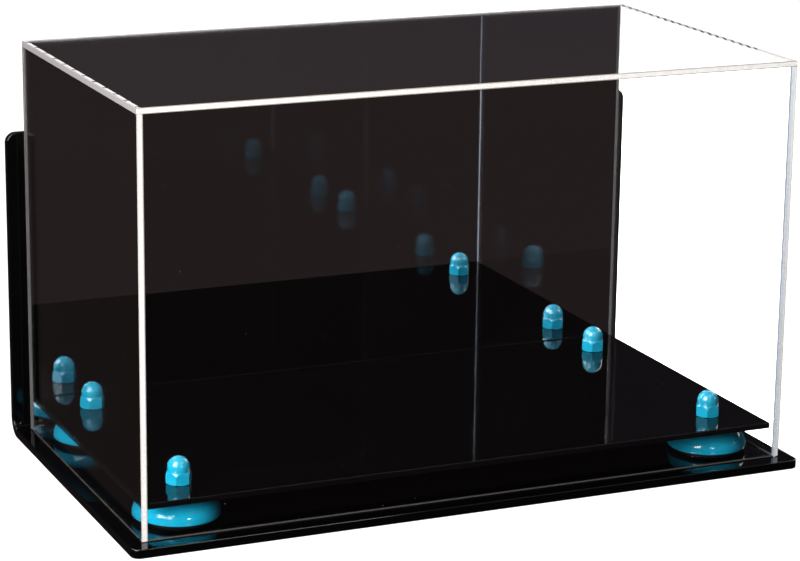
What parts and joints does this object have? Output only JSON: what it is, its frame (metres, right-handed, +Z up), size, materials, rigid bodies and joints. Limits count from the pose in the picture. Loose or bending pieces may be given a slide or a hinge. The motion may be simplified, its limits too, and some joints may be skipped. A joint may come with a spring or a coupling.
{
  "type": "display case",
  "caption": "Display case for a football or boot: clear lift-off cover with mirror back over a platform on domed risers and a bent gloss black base with wall plate.",
  "frame": {"origin": "middle of the base's underside, under the centre of the whole case", "axes": "+X to the viewer's right, +Y back towards the wall, +Z up"},
  "size_m": [0.397, 0.2258, 0.2337],
  "materials": {
    "black_acrylic": "polished black cast acrylic sheet",
    "clear_acrylic": "polished clear cast acrylic sheet",
    "mirror_acrylic": "mirrored acrylic sheet, grey paint behind",
    "blue_riser": "gloss moulded plastic",
    "blue_nut": "gloss enamel on steel",
    "black_rubber": "moulded rubber",
    "zinc_steel": "zinc-plated steel"
  },
  "bodies": {
    "base": {"base_plate": "black_acrylic", "display_platform": "black_acrylic", "front_left_riser": "blue_riser", "front_right_riser": "blue_riser", "back_left_riser": "blue_riser", "back_right_riser": "blue_riser", "front_left_riser_pad": "black_rubber", "front_right_riser_pad": "black_rubber", "back_left_riser_pad": "black_rubber", "back_right_riser_pad": "black_rubber", "front_left_cap_nut": "blue_nut", "front_right_cap_nut": "blue_nut", "back_left_cap_nut": "blue_nut", "back_right_cap_nut": "blue_nut", "front_left_riser_screw": "zinc_steel", "front_right_riser_screw": "zinc_steel", "back_left_riser_screw": "zinc_steel", "back_right_riser_screw": "zinc_steel"},
    "cover": {"front_panel": "clear_acrylic", "left_panel": "clear_acrylic", "right_panel": "clear_acrylic", "top_panel": "clear_acrylic", "mirror_panel": "mirror_acrylic"}
  },
  "joints": [
    {"name": "cover_lift", "type": "slide", "parent": "base", "child": "cover", "axis": [0, 0, 1], "range_m": [0, 0.25]}
  ]
}
